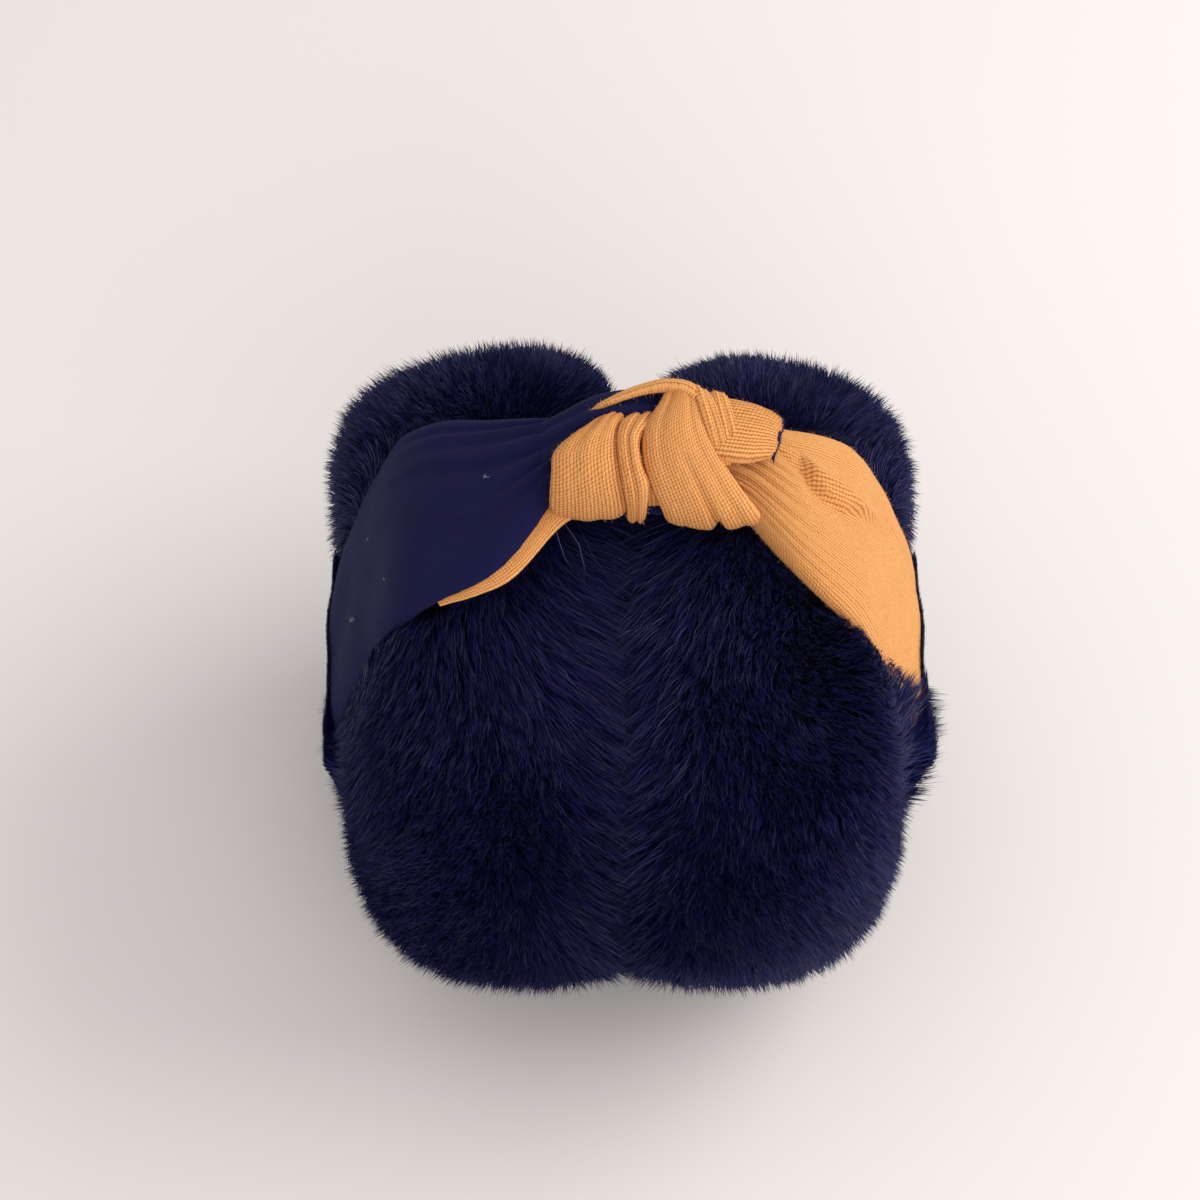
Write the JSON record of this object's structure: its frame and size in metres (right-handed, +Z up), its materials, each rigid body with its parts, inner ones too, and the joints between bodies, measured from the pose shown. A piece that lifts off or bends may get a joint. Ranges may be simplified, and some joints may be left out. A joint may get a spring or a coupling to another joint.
{
  "type": "fur ear muffs with knotted headband",
  "caption": "Fluffy round ear muffs on a two-tone fabric headband with a big knot on the crown, folded up with the two fur pads face to face.",
  "frame": {"origin": "centre of the bounding box, on the ground the pads stand on", "axes": "+X to the wearer's right ear pad (mustard side), +Y to the back, +Z up to the knot"},
  "size_m": [0.1174, 0.125, 0.145],
  "materials": {
    "navy_fur": "long fluffy pile",
    "navy_plush": "short plush",
    "navy_fabric": "soft brushed jersey",
    "mustard_fabric": "fine ribbed knit",
    "elastic": "matte",
    "wadding": "loose fibre",
    "foam": "soft foam",
    "black_plastic": "matte",
    "nylon": "natural",
    "rivet_steel": "plated",
    "spring_steel": "satin"
  },
  "bodies": {
    "crown": {"crown_spring_strip": "spring_steel", "crown_padding": "foam", "crown_lining": "navy_fabric", "crown_gather": "mustard_fabric", "knot_wrap": "mustard_fabric", "knot_front_lobe": "mustard_fabric", "knot_rear_lobe": "mustard_fabric"},
    "left_arm": {"left_arm_channel": "black_plastic", "left_outer_sleeve": "navy_fabric", "left_band_padding": "foam", "left_inner_lining": "mustard_fabric"},
    "right_arm": {"right_arm_channel": "black_plastic", "right_outer_sleeve": "mustard_fabric", "right_band_padding": "foam", "right_inner_lining": "navy_fabric"},
    "left_slider": {"left_slider_strip": "spring_steel"},
    "right_slider": {"right_slider_strip": "spring_steel"},
    "left_pad": {"left_fur_cover": "navy_fur", "left_ear_lining": "navy_plush", "left_gather_cord": "elastic", "left_wadding": "wadding", "left_ear_plate": "black_plastic", "left_cover_clamp_ring": "black_plastic", "left_swivel_rivet": "rivet_steel", "left_swivel_washers": "nylon"},
    "right_pad": {"right_fur_cover": "navy_fur", "right_ear_lining": "navy_plush", "right_gather_cord": "elastic", "right_wadding": "wadding", "right_ear_plate": "black_plastic", "right_cover_clamp_ring": "black_plastic", "right_swivel_rivet": "rivet_steel", "right_swivel_washers": "nylon"}
  },
  "joints": [
    {"name": "left_band_opening", "type": "hinge", "parent": "crown", "child": "left_arm", "pos_m": [-0.01832, 0, 0.13102], "axis": [0, 1, 0], "range_deg": [0, 45], "stiffness_Nm_per_rad": 0.3, "springref_deg": -9.74},
    {"name": "right_band_opening", "type": "hinge", "parent": "crown", "child": "right_arm", "pos_m": [0.03642, 0, 0.12394], "axis": [0, -1, 0], "range_deg": [0, 45], "stiffness_Nm_per_rad": 0.3, "springref_deg": -9.74},
    {"name": "left_band_length", "type": "slide", "parent": "left_arm", "child": "left_slider", "axis": [-0.309, 0, -0.9511], "range_m": [0, 0.028]},
    {"name": "right_band_length", "type": "slide", "parent": "right_arm", "child": "right_slider", "axis": [0.309, 0, -0.9511], "range_m": [0, 0.028]},
    {"name": "left_pad_swivel", "type": "hinge", "parent": "left_slider", "child": "left_pad", "pos_m": [-0.053, 0, 0.06], "axis": [1, 0, 0], "range_deg": [-8, 8]},
    {"name": "right_pad_swivel", "type": "hinge", "parent": "right_slider", "child": "right_pad", "pos_m": [0.053, 0, 0.06], "axis": [1, 0, 0], "range_deg": [-8, 8]}
  ]
}
